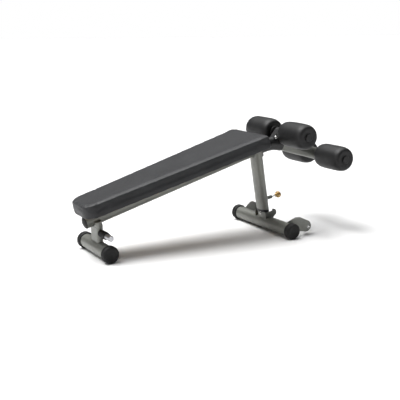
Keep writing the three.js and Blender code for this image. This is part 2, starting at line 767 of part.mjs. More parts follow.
const LEG_FACE = LEG_DEPTH / 2;
const POST_FACE = OUTER_POST_DEPTH / 2;
const PIN_TIP = LEG_FACE + PIN_TIP_CLEARANCE;
const HOUSING_OUT = POST_FACE + HOUSING_LENGTH;
const SEAT_START = POST_FACE + PIN_SEAT_OUT;
const CHAMBER_START = SEAT_START - PIN_LOCK_STROKE - GAP;
const CHAMBER_END = HOUSING_OUT - 2 * HOUSING_WALL;

function addPullPin() {
  const placing = outOfPost(PIN_HEIGHT, 0);
  const pin = PIN_D / 2;
  const bore = pin + RUNNING_GAP;
  const seat = PIN_SEAT_D / 2;
  const chamber = HOUSING_D / 2 - HOUSING_WALL;

  const shell = ring(HOUSING_D / 2, bore, 0, HOUSING_OUT, ROUND);
  const hollow = ring(chamber, bore / 2, CHAMBER_START, CHAMBER_END, ROUND);
  const housing = solid(shell, placing)
    .subtract(solid(hollow, placing))
    .subtract(ovalPrism(OUTER_POST_WIDTH + 2 * GAP, OUTER_POST_DEPTH + 2 * GAP, 0, 2 * PIN_HEIGHT));
  addPiece("pin_housing", housing, FRAME_PAINT);

  const rodEnd = KNOB_REACH - PIN_ROD_COVER;
  const plunger = turned(
    [
      [0, PIN_TIP],
      [pin - 1, PIN_TIP],
      [pin, PIN_TIP + 1.5],
      [pin, SEAT_START],
      [seat, SEAT_START],
      [seat, SEAT_START + PIN_SEAT_LENGTH],
      [pin, SEAT_START + PIN_SEAT_LENGTH],
      [pin, rodEnd],
      [0, rodEnd],
    ],
    SMALL_ROUND,
  );
  addPiece("pin_plunger", plunger, BRIGHT_STEEL).applyMatrix4(placing);

  addPiece("pin_spring", springShape(pin, chamber), BRIGHT_STEEL).applyMatrix4(placing);

  const knob = KNOB_D / 2;
  const knobIn = KNOB_REACH - KNOB_LENGTH;
  const knobProfile = [
    [bore, knobIn],
    [knob * 0.5, knobIn],
    [knob * 0.62, knobIn + 2],
    [knob * 0.7, knobIn + 8],
    [knob * 0.96, knobIn + 12],
    [knob, knobIn + 16],
    [knob, KNOB_REACH - 7],
    [knob * 0.9, KNOB_REACH - 2],
    [knob * 0.7, KNOB_REACH],
    [0, KNOB_REACH],
    [0, rodEnd + GAP],
    [bore, rodEnd + GAP],
    [bore, knobIn],
  ];
  addPiece("pin_knob", turned(knobProfile), GOLD_KNOB).applyMatrix4(placing);
}

/** Coil spring round the plunger, from its seat to where the chamber leaves room for the travel. */
function springShape(pin, chamber) {
  const low = SEAT_START + PIN_SEAT_LENGTH + GAP + SPRING_WIRE_D / 2;
  const high = CHAMBER_END - PIN_FREE_STROKE - GAP - SPRING_WIRE_D;
  const radius = (pin + chamber) / 2;
  const steps = 8 * SPRING_TURNS;
  const points = [];
  for (let i = 0; i <= steps; i += 1) {
    const angle = (2 * Math.PI * SPRING_TURNS * i) / steps;
    const along = low + ((high - low) * i) / steps;
    points.push(vector(radius * Math.cos(angle), along, radius * Math.sin(angle)));
  }
  return sweep(ellipse(SPRING_WIRE_D, SPRING_WIRE_D, 5), points);
}

// ---------------------------------------------------------------------------------------------
// Foot gussets beside the leg
// ---------------------------------------------------------------------------------------------

/** Gusset outline from the cross tube's axis: under the collar, with a round lug behind it. */
function gussetOutline() {
  const underCollar = OUTER_POST_START - COLLAR_FLANGE - GUSSET_UNDER_COLLAR;
  const topAt = (x) => (underCollar + x * Math.sin(POST_LEAN)) / Math.cos(POST_LEAN);
  const corner = 6;
  const lugX = GUSSET_LUG_RADIUS + 3;
  const lugZ = underCollar - corner;
  const shape = new THREE.Shape();
  shape.moveTo(GUSSET_FRONT + 9, 0);
  shape.lineTo(GUSSET_FRONT + 3, underCollar / 2);
  shape.lineTo(GUSSET_FRONT, topAt(GUSSET_FRONT) - corner);
  const cornerEnd = GUSSET_FRONT + corner;
  shape.quadraticCurveTo(GUSSET_FRONT, topAt(GUSSET_FRONT), cornerEnd, topAt(cornerEnd));
  shape.lineTo(GUSSET_WAIST - 4, topAt(GUSSET_WAIST - 4));
  shape.lineTo(GUSSET_WAIST, topAt(GUSSET_WAIST) + 3);
  shape.lineTo(GUSSET_WAIST, lugZ + GUSSET_LUG_RADIUS - 1);
  shape.absarc(lugX, lugZ, GUSSET_LUG_RADIUS, Math.PI / 2, -Math.PI / 3, true);
  shape.quadraticCurveTo(GUSSET_WAIST + 2, underCollar / 2, GUSSET_WAIST, 0);
  return shape;
}

function addGussets() {
  const inner = LEG_WIDTH / 2 + GUSSET_CLEARANCE;
  for (const [side, sign] of Object.entries(SIDES)) {
    const start = sign > 0 ? inner + GUSSET_THICKNESS : -inner;
    const plate = solid(
      extrude(gussetOutline(), GUSSET_THICKNESS, 8),
      sideways(BASE_SPACING, start, AXIS_Z),
    );
    const gusset = plate
      .subtract(crossTubeSolid(BASE_SPACING, HIGH_BASE_WIDTH))
      .subtract(belowAxisCutter());
    addPiece(`foot_gusset_${side}`, gusset, FRAME_PAINT);
  }
}

// ---------------------------------------------------------------------------------------------
// Transport wheels on folded brackets behind the high cross tube
// ---------------------------------------------------------------------------------------------

/** Bracket seen from the side, from the cross tube's axis, cut off inside the tube. */
function bracketSide() {
  const hubZ = WHEEL_HEIGHT - AXIS_Z;
  const shape = new THREE.Shape();
  shape.moveTo(BRACKET_ROOT.out, BRACKET_ROOT.low);
  shape.lineTo(BRACKET_FOLD_OUT, BRACKET_FOLD.low);
  shape.lineTo(WHEEL_OUT - BRACKET_EAR.reach, hubZ + BRACKET_EAR.low);
  shape.quadraticCurveTo(WHEEL_OUT + 4, hubZ + BRACKET_EAR.low, WHEEL_OUT + BRACKET_EAR.reach, hubZ - 2);
  shape.quadraticCurveTo(WHEEL_OUT + 24, hubZ + 14, WHEEL_OUT + 6, hubZ + BRACKET_EAR.high);
  shape.lineTo(BRACKET_FOLD_OUT, BRACKET_FOLD.high);
  shape.lineTo(BRACKET_FOLD_OUT - 25, BRACKET_FOLD.high);
  shape.lineTo(BRACKET_ROOT.out, BRACKET_ROOT.high);
  return shape;
}

/** Bracket seen from above: a strip that flares outward and then runs straight back. */
function bracketStrip() {
  const flareSlope = BRACKET_FLARE / BRACKET_FOLD_OUT;
  const back = WHEEL_OUT + 2 * BRACKET_EAR.reach;
  const start = BRACKET_ROOT.out - 2;
  const innerY = BRACKET_OUTER_Y - BRACKET_THICKNESS;
  const startDrop = flareSlope * (BRACKET_FOLD_OUT - start) + 4;
  const shape = new THREE.Shape();
  shape.moveTo(start, innerY - startDrop);
  shape.lineTo(BRACKET_FOLD_OUT + 1, innerY);
  shape.lineTo(back, innerY);
  shape.lineTo(back, BRACKET_OUTER_Y);
  shape.lineTo(BRACKET_FOLD_OUT, BRACKET_OUTER_Y);
  shape.lineTo(start, BRACKET_OUTER_Y - startDrop);
  return shape;
}

/** A piece made for the left side, turned over for the right. */
function mirrored(body, sign) {
  return sign > 0 ? body : body.mirror([0, 1, 0]);
}

function addWheelBrackets() {
  const sidePrism = solid(
    extrude(bracketSide(), 2 * BRACKET_OUTER_Y, 8),
    sideways(BASE_SPACING, 2 * BRACKET_OUTER_Y, AXIS_Z),
  );
  const stripPrism = solid(extrude(bracketStrip(), 2 * FOOT_D), moved(BASE_SPACING, 0, AXIS_Z - FOOT_D));
  const boltHole = solid(
    bar(WHEEL_BOLT_D + 2 * GAP, 4 * BRACKET_THICKNESS),
    moved(BASE_SPACING + WHEEL_OUT, BRACKET_OUTER_Y, WHEEL_HEIGHT),
  );
  const bracket = sidePrism
    .intersect(stripPrism)
    .subtract(crossTubeSolid(BASE_SPACING, HIGH_BASE_WIDTH))
    .subtract(boltHole);
  for (const [side, sign] of Object.entries(SIDES)) {
    addPiece(`wheel_bracket_${side}`, mirrored(bracket, sign), FRAME_PAINT);
  }
}

const WHEEL_OUTER_Y = BRACKET_OUTER_Y - BRACKET_THICKNESS - WHEEL_SIDE_GAP;
const WHEEL_INNER_Y = WHEEL_OUTER_Y - WHEEL_WIDTH;

function addWheels() {
  const rim = WHEEL_D / 2;
  const bore = WHEEL_BORE / 2;
  const wheelProfile = [
    [bore, 0],
    [rim * 0.5, 0],
    [rim * 0.55, 3],
    [rim * 0.8, 3],
    [rim * 0.88, 0],
    [rim, 4],
    [rim, WHEEL_WIDTH - 4],
    [rim * 0.88, WHEEL_WIDTH],
    [rim * 0.8, WHEEL_WIDTH - 3],
    [rim * 0.55, WHEEL_WIDTH - 3],
    [rim * 0.5, WHEEL_WIDTH],
    [bore, WHEEL_WIDTH],
    [bore, 0],
  ];
  const nutStart = WHEEL_INNER_Y - WHEEL_SIDE_GAP - NUT_HEIGHT;
  const shankEnd = nutStart - 3;
  for (const [side, sign] of Object.entries(SIDES)) {
    const place = (piece) => {
      piece.position.set(BASE_SPACING + WHEEL_OUT, 0, WHEEL_HEIGHT);
      piece.rotation.x = sign > 0 ? 0 : Math.PI;
    };
    const wheel = turned(wheelProfile.map(([r, y]) => [r, y + WHEEL_INNER_Y]));
    place(addPiece(`wheel_${side}`, wheel, BLACK_RUBBER));
    const bolt = domeBolt(WHEEL_BOLT_D, shankEnd, BRACKET_OUTER_Y + GAP);
    place(addPiece(`wheel_bolt_${side}`, bolt, BRIGHT_STEEL));
    const nut = hexNut(WHEEL_BOLT_D * NUT_RATIO, WHEEL_BOLT_D + 2 * GAP, nutStart, nutStart + NUT_HEIGHT);
    place(addPiece(`wheel_nut_${side}`, nut, BRIGHT_STEEL));
  }
}

// ---------------------------------------------------------------------------------------------
// Roller axles and rollers
// ---------------------------------------------------------------------------------------------

/** Bracket outline from the upper axle's centre: a round boss on a spreading neck. */
function axleBracketOutline() {
  const bossFront = (5 * Math.PI) / 6;
  const bossBack = Math.PI / 9;
  const shape = new THREE.Shape();
  shape.moveTo(AXLE_FOOT.front, AXLE_FOOT.below);
  shape.lineTo(AXLE_NECK.front, AXLE_NECK.frontBelow);
  shape.lineTo(AXLE_BOSS_RADIUS * Math.cos(bossFront), AXLE_BOSS_RADIUS * Math.sin(bossFront));
  shape.absarc(0, 0, AXLE_BOSS_RADIUS, bossFront, bossBack, true);
  shape.lineTo(AXLE_NECK.back, AXLE_NECK.backBelow);
  shape.lineTo(AXLE_FOOT.back, AXLE_FOOT.below);
  return shape;
}

/** The bracket's sleeve: it fits round the beam from behind the tall post to the bend's end. */
function axleSleeve() {
  const postEnd = HIGH_SADDLE_ALONG + HIGH_SADDLE_DEPTH / 2;
  const start = onSlope(postEnd + AXLE_SLEEVE_PAST_POST, 0, BEAM_MIDDLE);
  const margin = 2 * (GAP + AXLE_SLEEVE_WALL);
  const outline = ellipse(BEAM_WIDTH + margin, BEAM_DEPTH + margin);
  return solid(sweep(outline, [start, ...beam.points.slice(1, -1)]));
}

function addAxleBracket() {
  const half = AXLE_BRACKET_WIDTH / 2;
  const axleHole = bar(AXLE_D + 2 * GAP, 2 * AXLE_BRACKET_WIDTH, ROUND);
  const boltFrame = frameAt(
    vector(UPPER_AXLE.x + AXLE_BOLT_PLACE.front, -half, UPPER_AXLE.z + AXLE_BOLT_PLACE.below),
    vector(1, 0, 0),
    vector(0, -1, 0),
    vector(0, 0, -1),
  );
  const boltHole = bar(AXLE_BOLT_D + 2 * GAP, 2 * (BOLT_REACH + 2));
  const neck = extrude(axleBracketOutline(), AXLE_BRACKET_WIDTH, 8);
  const bracket = solid(neck, sideways(UPPER_AXLE.x, half, UPPER_AXLE.z))
    .add(axleSleeve())
    .subtract(beamSolid(GAP))
    .subtract(solid(axleHole, moved(UPPER_AXLE.x, 0, UPPER_AXLE.z)))
    .subtract(solid(boltHole, boltFrame));
  addPiece("axle_bracket", bracket, BLACK_PAINT);

  addPiece("axle_bolt", domeBolt(AXLE_BOLT_D, -BOLT_REACH, GAP), BRIGHT_STEEL).applyMatrix4(boltFrame);
}

const AXLE_END = ROLLER_OUTER_Y - AXLE_CAP_LENGTH - GAP;

/** Barrel outline of the foam, round a core. */
function foamProfile(bore) {
  const half = ROLLER_LENGTH / 2;
  const endRadius = ROLLER_END_D / 2;
  const rise = ROLLER_D / 2 - endRadius;
  const shares = [-1, -0.97, -0.9, -0.75, -0.45, 0];
  const outer = [...shares, ...shares.slice(0, -1).reverse().map((share) => -share)];
  const points = outer.map((share) => {
    const height = (1 - Math.abs(share) ** 5) ** (1 / 2.2);
    return [endRadius + rise * height, share * half];
  });
  return [[bore, -half], ...points, [bore, half], [bore, -half]];
}

function addRoller(label, axle, side, sign) {
  const axleBore = AXLE_D / 2 + RUNNING_GAP;
  const coreRadius = axleBore + CORE_WALL;
  const half = ROLLER_LENGTH / 2;
  const middle = ROLLER_OUTER_Y - AXLE_CAP_LENGTH - RUNNING_GAP - half;
  const place = (piece) => {
    piece.position.set(axle.x, sign * middle, axle.z);
    piece.rotation.x = sign > 0 ? 0 : Math.PI;
  };

  const foam = turned(foamProfile(coreRadius + GAP), ROLLER_ROUND);
  place(addPiece(`roller_foam_${label}_${side}`, foam, FOAM_SKIN));

  const flangeStart = -half - GAP - CORE_FLANGE_LENGTH;
  const core = turned([
    [axleBore, flangeStart],
    [CORE_FLANGE_D / 2 - 2, flangeStart],
    [CORE_FLANGE_D / 2, flangeStart + 3],
    [CORE_FLANGE_D / 2, -half - GAP],
    [coreRadius, -half - GAP],
    [coreRadius, half],
    [axleBore, half],
    [axleBore, flangeStart],
  ], ROLLER_ROUND);
  place(addPiece(`roller_core_${label}_${side}`, core, BLACK_PLASTIC));

  const capStart = ROLLER_OUTER_Y - AXLE_CAP_LENGTH - middle;
  const plug = AXLE_D / 2 - AXLE_WALL - GAP;
  const cap = turned([
    [0, capStart - 14],
    [plug, capStart - 14],
    [plug, capStart],
    [AXLE_CAP_D / 2, capStart],
    [AXLE_CAP_D / 2, capStart + 3],
    [AXLE_CAP_D / 2 - 3, capStart + AXLE_CAP_LENGTH],
    [0, capStart + AXLE_CAP_LENGTH],
  ], ROLLER_ROUND);
  place(addPiece(`axle_cap_${label}_${side}`, cap, BLACK_PLASTIC));
}

function addRollers() {
  const axles = { upper: UPPER_AXLE, lower: LOWER_AXLE };
  for (const [label, axle] of Object.entries(axles)) {
    const tube = ring(AXLE_D / 2, AXLE_D / 2 - AXLE_WALL, -AXLE_END, AXLE_END, ROLLER_ROUND);
    addPiece(`${label}_axle`, tube, BRIGHT_STEEL).position.set(axle.x, 0, axle.z);
    for (const [side, sign] of Object.entries(SIDES)) addRoller(label, axle, side, sign);
  }
}

// ---------------------------------------------------------------------------------------------
// Assembly
// ---------------------------------------------------------------------------------------------

addBases();
addLowPost();
addHandle();
addBeam();
addBeamCaps();
addOuterPost();
addCollar();
addLeg();
addPullPin();
addGussets();
addWheelBrackets();
addWheels();
addAxleBracket();
addRollers();
addPadPlates();
addPad();
addPadScrews();

/** Moves the bench so that its box stands centred over the origin. */
function centreOnFloor(group) {
  group.updateMatrixWorld(true);
  const box = new THREE.Box3().setFromObject(group, true);
  const centre = box.getCenter(new THREE.Vector3());
  group.position.set(-centre.x, -centre.y, -box.min.z);
}

centreOnFloor(bench);

export default bench;
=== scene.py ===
"""
Decline sit-up bench: upholstery, finishes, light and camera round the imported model.

Lengths are metres in the model's own frame: +X runs to the roller end, +Y to the left, +Z up.
"""

import json
import math

import bmesh
import bpy
from mathutils import Matrix, Vector, noise


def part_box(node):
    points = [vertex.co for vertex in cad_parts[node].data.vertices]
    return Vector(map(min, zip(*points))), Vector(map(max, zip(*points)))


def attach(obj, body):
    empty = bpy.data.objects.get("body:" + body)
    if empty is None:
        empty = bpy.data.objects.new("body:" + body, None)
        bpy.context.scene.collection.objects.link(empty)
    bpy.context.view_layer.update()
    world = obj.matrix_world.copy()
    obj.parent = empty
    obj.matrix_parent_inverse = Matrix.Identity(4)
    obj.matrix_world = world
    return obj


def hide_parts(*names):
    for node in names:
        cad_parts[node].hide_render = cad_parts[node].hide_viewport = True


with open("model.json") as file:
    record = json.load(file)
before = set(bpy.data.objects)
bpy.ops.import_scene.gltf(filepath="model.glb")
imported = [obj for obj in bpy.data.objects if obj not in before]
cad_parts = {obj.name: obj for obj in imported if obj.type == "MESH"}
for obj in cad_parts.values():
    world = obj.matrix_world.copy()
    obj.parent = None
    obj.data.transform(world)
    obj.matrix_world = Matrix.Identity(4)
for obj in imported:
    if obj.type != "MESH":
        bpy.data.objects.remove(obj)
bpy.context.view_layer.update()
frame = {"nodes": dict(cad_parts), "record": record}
nodes = frame["nodes"]

MM = 0.001
SAME_PLACE = 0.01 * MM  # points closer than this are one point
SHARP_ANGLE = math.radians(38)  # of a new piece's creases
CREASE_ANGLE = math.radians(36)  # of a model node's creases
Y_AXIS = Vector((0, 1, 0))
SIDES = {"left": 1, "right": -1}

# The pad's slope and the post's lean
SLOPE = math.radians(15.6)
POST_LEAN = math.radians(9.6)
SLOPE_ALONG = Vector((math.cos(SLOPE), 0, math.sin(SLOPE)))
SLOPE_UP = Vector((-math.sin(SLOPE), 0, math.cos(SLOPE)))
POST_OUT = Vector((math.cos(POST_LEAN), 0, math.sin(POST_LEAN)))

# Pad
PAD_THICKNESS = 72 * MM
PAD_VOXEL = 5 * MM
PAD_HELD_BELOW = 18 * MM  # of the cover's height, where it is stapled round the board
PAD_FREE_ABOVE = 34 * MM
PAD_SHRINK_TOP = 3.5 * MM
PAD_SHRINK_SIDE = 1.0 * MM
PAD_GROWTH_ENDS = 4 * MM
PAD_SWELL_CAP = 5 * MM
PAD_SMOOTHING = 4
STUFFING_FRAMES = 20

# Rollers
ROLLER_SEGMENTS = 96
ROLLER_RINGS = 40
ROLLER_END_SHARE = 100 / 146  # end radius to full radius
ROLLER_FLATNESS = 5  # how long the barrel stays at its full radius
ROLLER_SHOULDER = 2.2  # how full and round the shoulder is
ROLLER_BORE = 21.8 * MM
ROLLER_LIP = 5 * MM
ROLLER_FACE_RIM = 6 * MM
ROLLER_DISH = 2 * MM
DENT_DEPTH = 0.7 * MM
DENTS_ROUND = 1.4  # how quickly the dents vary round the roller
DENTS_ALONG = 22  # and along it, per metre

# Rubber feet
FOOT_WALL = 7.2 * MM
FOOT_END = 6.7 * MM
FOOT_GROOVES = 3
GROOVE_START = 15 * MM
GROOVE_PITCH = 5.5 * MM
GROOVE_DEPTH = 1.1 * MM

# Hand grip
GRIP_BORE = 12.8 * MM
GRIP_RIBS = 9
GRIP_END = 9 * MM
RIB_DEPTH = 1.3 * MM
RIB_STEPS = 6

# Pull knob
KNOB_BORE = 5.5 * MM
KNOB_ROD_COVER = 14 * MM
KNOB_ROD_GAP = 0.3 * MM
KNOB_FLUTES = 12
FLUTE_DEPTH = 0.9 * MM

# Bolts: shares of the head's radius or height
BOLT_SEGMENTS = 48
CROWN_FLAT = 0.12
SOCKET_ACROSS = 0.52
SOCKET_LEAD_IN = 0.10
SOCKET_DEPTH = 0.55

# Weld beads
LEG_OVAL = 54 * MM  # how much wider than deep the leg's oval is
OVAL_STEPS = 220
BEAD_RADIUS = 1.8 * MM
BEAD_SPACING = 0.8 * MM
BEAD_SIDES = 8
BEAD_RIPPLE = 0.16  # of the bead's radius
BEAD_RIPPLE_PITCH = 2.2  # of the bead's radius

# Camera, light and floor
CAMERA_PLACE = Vector((-2.1915, -3.5749, 1.1771))
CAMERA_TARGET = Vector((-0.0799, 0, 0.2249))
CAMERA_LENS = 68.46
CAMERA_SENSOR = 36
CAMERA_REACH = 200
KEY_FROM = Vector((-0.36, 0.3, 1))
OVERHEAD_FROM = Vector((0.2, 0.3, 1))
STRIP_PLACE = Vector((-4.2, -0.3, 1.5))
STRIP_TARGET = Vector((0.2, 0, 0.35))
SUN_DISTANCE = 10
AMBIENT = 0.12
FLOOR_REACH = 60
FLOOR_GREY = 0.72
WHITE = (1, 1, 1, 1)


# ----------------------------------------------------------------------------------------------
# Materials
# ----------------------------------------------------------------------------------------------


class Finish:
    """A procedural material: its shader, and short ways to add nodes and join them."""

    def __init__(self, name, **values):
        self.material = bpy.data.materials.new(name)
        self.material.use_nodes = True
        self.tree = self.material.node_tree
        self.shader = self.tree.nodes["Principled BSDF"]
        for socket, value in values.items():
            self.shader.inputs[socket.replace("_", " ")].default_value = value
        self.place = self.tree.nodes.new("ShaderNodeTexCoord").outputs["Object"]

    def add(self, kind, inputs, **settings):
        node = self.tree.nodes.new(kind)
        for key, value in settings.items():
            setattr(node, key, value)
        for socket, value in inputs.items():
            if isinstance(value, bpy.types.NodeSocket):
                self.tree.links.new(value, node.inputs[socket])
            else:
                node.inputs[socket].default_value = value
        return node

    def stretched(self, scale):
        inputs = {"Vector": self.place, "Scale": scale}
        return self.add("ShaderNodeMapping", inputs).outputs["Vector"]

    def noise(self, scale, detail=3, stretch=(1, 1, 1)):
        inputs = {"Vector": self.stretched(stretch), "Scale": scale, "Detail": detail}
        return self.add("ShaderNodeTexNoise", inputs).outputs["Fac"]

    def cells(self, scale, feature="DISTANCE_TO_EDGE"):
        inputs = {"Vector": self.place, "Scale": scale}
        return self.add("ShaderNodeTexVoronoi", inputs, feature=feature).outputs["Distance"]

    def ramp(self, factor, stops):
        node = self.add("ShaderNodeValToRGB", {"Fac": factor})
        elements = node.color_ramp.elements
        while len(elements) < len(stops):
            elements.new(0.5)
        for element, (position, color) in zip(elements, stops):
            element.position = position
            element.color = (*color, 1)
        return node.outputs["Color"]

    def levels(self, factor, low, high, start=0.0, end=1.0):
        """Maps a factor between start and end to a value between low and high."""
        span = {"From Min": start, "From Max": end, "To Min": low, "To Max": high}
        return self.add("ShaderNodeMapRange", {"Value": factor, **span}).outputs["Result"]

    def multiply(self, a, b):
        node = self.tree.nodes.new("ShaderNodeMix")
        node.data_type = "RGBA"
        node.blend_type = "MULTIPLY"
        node.inputs["Factor"].default_value = 1
        colors = [socket for socket in node.inputs if socket.type == "RGBA"]
        self.tree.links.new(a, colors[0])
        self.tree.links.new(b, colors[1])
        return next(socket for socket in node.outputs if socket.type == "RGBA")

    def set(self, socket, value):
        self.tree.links.new(value, self.shader.inputs[socket])

    def bump(self, *layers):
        """Stacks height patterns, each with its depth in metres, on the shader's normal."""
        normal = None
        for height, depth in layers:
            inputs = {"Height": height, "Distance": depth, "Strength": 1.0}
            if normal is not None:
                inputs["Normal"] = normal
            normal = self.add("ShaderNodeBump", inputs).outputs["Normal"]
        self.set("Normal", normal)


def shades(color, *shares):
    """The same colour at several brightnesses."""
    return [tuple(min(1, channel * share) for channel in color) for share in shares]


def grey(value):
    return (value, value, value)


def frame_paint():
    """Gun-metal powder coat: fine metal flake, orange peel and a few dull scuffs."""
    finish = Finish("frame_paint", Metallic=0.4, Coat_Weight=0.3, Coat_Roughness=0.22)
    dark, middle, light = shades((0.168, 0.172, 0.155), 0.88, 1.0, 1.12)
    cloudy = finish.ramp(finish.noise(7, 4), [(0.3, dark), (0.5, middle), (0.72, light)])
    glints = [(0.38, grey(0.82)), (0.6, grey(1)), (0.72, grey(1.25))]
    flake = finish.ramp(finish.noise(1900, 1), glints)
    finish.set("Base Color", finish.multiply(cloudy, flake))
    scuffs = finish.noise(38, 6, stretch=(1, 1, 2.5))
    finish.set("Roughness", finish.levels(scuffs, 0.34, 0.55, start=0.35, end=0.75))
    finish.bump((finish.noise(420, 2), 0.10 * MM), (finish.noise(2400, 1), 0.02 * MM))
    return finish.material


def black_paint():
    """Black powder coat with orange peel. Its near-black is painted shade: the bracket at the
    beam's bend is black to stand in for the shadow that falls there between the pad and the
    rollers.
    """
    finish = Finish("black_paint", Specular_IOR_Level=0.35, Coat_Weight=0.15, Coat_Roughness=0.3)
    dark, light = shades((0.012, 0.012, 0.0125), 0.85, 1.2)
    finish.set("Base Color", finish.ramp(finish.noise(30, 4), [(0.3, dark), (0.7, light)]))
    finish.set("Roughness", finish.levels(finish.noise(45, 5), 0.38, 0.56))
    finish.bump((finish.noise(420, 2), 0.10 * MM))
    return finish.material


def pad_vinyl():
    """Charcoal upholstery vinyl with a fine leather grain, and painted shade darkening the grain's
    creases.
    """
    finish = Finish("pad_vinyl", Specular_IOR_Level=0.22)
    dark, middle, light = shades((0.0345, 0.035, 0.037), 0.86, 1.0, 1.14)
    cloudy = finish.ramp(finish.noise(9, 4), [(0.3, dark), (0.5, middle), (0.7, light)])
    grain = finish.cells(520)
    # Painted shade: the colour darkens towards the cell edges, the grain's creases, where the bump
    # sinks.
    creases = finish.ramp(grain, [(0.0, grey(0.6)), (0.12, grey(1))])
    finish.set("Base Color", finish.multiply(cloudy, creases))
    finish.set("Roughness", finish.levels(finish.noise(60, 5), 0.38, 0.52))
    pebbles = finish.levels(grain, 0.0, 1.0, end=0.22)
    waves, tooth = finish.noise(14, 2), finish.noise(1500, 2)
    finish.bump((waves, 0.5 * MM), (pebbles, 0.09 * MM), (tooth, 0.03 * MM))
    return finish.material


def roller_foam():
    """Black foam rubber with a smooth moulded skin and fine pores, with painted shade darkening
    the pores.
    """
    finish = Finish("roller_foam", Specular_IOR_Level=0.32)
    dark, middle, light = shades((0.0090, 0.0090, 0.0094), 0.8, 1.0, 1.3)
    cloudy = finish.ramp(finish.noise(24, 4), [(0.3, dark), (0.5, middle), (0.75, light)])
    pores = finish.cells(1300, "F1")
    # Painted shade: the colour darkens in the middle of each cell, the pores that the bump sinks.
    pore_shade = finish.ramp(pores, [(0.0, grey(0.55)), (0.22, grey(1))])
    finish.set("Base Color", finish.multiply(cloudy, pore_shade))
    finish.set("Roughness", finish.levels(finish.noise(90, 4), 0.42, 0.60))
    finish.bump((finish.noise(40, 3), 0.35 * MM), (pores, 0.05 * MM))
    return finish.material


def black_plastic():
    """Moulded black plastic with a spark-eroded texture."""
    finish = Finish("black_plastic", Specular_IOR_Level=0.3)
    dark, light = shades((0.008, 0.008, 0.0085), 0.85, 1.25)
    finish.set("Base Color", finish.ramp(finish.noise(55, 5), [(0.3, dark), (0.7, light)]))
    finish.set("Roughness", finish.levels(finish.noise(140, 4), 0.34, 0.52))
    finish.bump((finish.noise(1700, 3), 0.04 * MM))
    return finish.material


def black_rubber():
    """Black rubber with a dry bloom and a fine grain."""
    finish = Finish("black_rubber", Specular_IOR_Level=0.28)
    dark, light, bloom = shades((0.010, 0.010, 0.010), 0.8, 1.2, 2.0)
    dusty = [(0.3, dark), (0.6, light), (0.85, bloom)]
    finish.set("Base Color", finish.ramp(finish.noise(42, 7), dusty))
    finish.set("Roughness", finish.levels(finish.noise(75, 5), 0.5, 0.74))
    finish.bump((finish.noise(850, 4), 0.07 * MM))
    return finish.material


def plywood():
    """Birch plywood: long grain on the face and thin plies on the edge."""
    finish = Finish("plywood")
    grain = finish.noise(26, 8, stretch=(0.35, 5, 1))
    dark, middle, light = (0.30, 0.19, 0.09), (0.44, 0.30, 0.16), (0.55, 0.40, 0.23)
    face = finish.ramp(grain, [(0.25, dark), (0.5, middle), (0.8, light)])
    layers = finish.noise(30, 2, stretch=(0.1, 0.1, 18))
    plies = finish.ramp(layers, [(0.4, grey(0.75)), (0.6, grey(1))])
    finish.set("Base Color", finish.multiply(face, plies))
    finish.set("Roughness", finish.levels(grain, 0.6, 0.82))
    finish.bump((grain, 0.12 * MM))
    return finish.material


def bright_steel():
    """Bright plated steel with faint drawing lines and fingerprints."""
    finish = Finish("bright_steel", Metallic=1.0)
    dull, clean = shades((0.78, 0.78, 0.77), 0.9, 1.05)
    finish.set("Base Color", finish.ramp(finish.noise(30, 5), [(0.35, dull), (0.65, clean)]))
    finish.set("Roughness", finish.levels(finish.noise(70, 6), 0.12, 0.30))
    finish.bump((finish.noise(500, 3, stretch=(1, 0.05, 1)), 0.015 * MM))
    return finish.material


def aluminium():
    """Satin turned aluminium with lathe lines round its axis, which runs along Y."""
    finish = Finish("aluminium", Metallic=1.0)
    lines = finish.noise(60, 4, stretch=(0.2, 40, 0.2))
    dull, clean = shades((0.46, 0.46, 0.48), 0.88, 1.05)
    finish.set("Base Color", finish.ramp(lines, [(0.3, dull), (0.7, clean)]))
    finish.set("Roughness", finish.levels(lines, 0.24, 0.42))
    finish.bump((lines, 0.03 * MM))
    return finish.material


def gold_knob():
    """Amber-gold knob with a hard clear coat over a cloudy core."""
    finish = Finish("gold_knob", Metallic=0.35, Coat_Weight=0.6, Coat_Roughness=0.12)
    brown, amber, gold = (0.22, 0.11, 0.025), (0.52, 0.31, 0.09), (0.72, 0.50, 0.20)
    cloudy = finish.noise(75, 4)
    finish.set("Base Color", finish.ramp(cloudy, [(0.3, brown), (0.46, amber), (0.66, gold)]))
    finish.set("Roughness", finish.levels(finish.noise(210, 4), 0.26, 0.44))
    finish.bump((finish.noise(900, 2), 0.03 * MM))
    return finish.material


FINISHES = {
    "frame_paint": frame_paint(),
    "black_paint": black_paint(),
    "black_plastic": black_plastic(),
    "black_rubber": black_rubber(),
    "roller_foam": roller_foam(),
    "pad_cover": pad_vinyl(),
    "plywood": plywood(),
    "bright_steel": bright_steel(),
    "aluminium": aluminium(),
    "gold_knob": gold_knob(),
}
SLOT_OF = {entry["node"]: entry["material_slot"] for entry in frame["record"]["subparts"]}
BODY_OF = {
    node: body
    for body, members in frame["record"]["behaviour"]["bodies"].items()
    for node in members
}


# ----------------------------------------------------------------------------------------------
# Making and placing pieces
# ----------------------------------------------------------------------------------------------


def new_piece(name, vertices, faces, slot):
    """A mesh object with smooth sides and creases where its faces meet sharply."""
    mesh = bpy.data.meshes.new(name)
    mesh.from_pydata([tuple(vertex) for vertex in vertices], [], faces)
    mesh.validate()
    mesh.shade_smooth()
    mesh.set_sharp_from_angle(angle=SHARP_ANGLE)
    piece = bpy.data.objects.new(name, mesh)
    bpy.context.scene.collection.objects.link(piece)
    mesh.materials.append(FINISHES[slot])
    return piece


def stand_for(piece, node):
    """The piece is shown in place of a node, and moves as the node does."""
    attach(piece, BODY_OF[node])
    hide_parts(node)


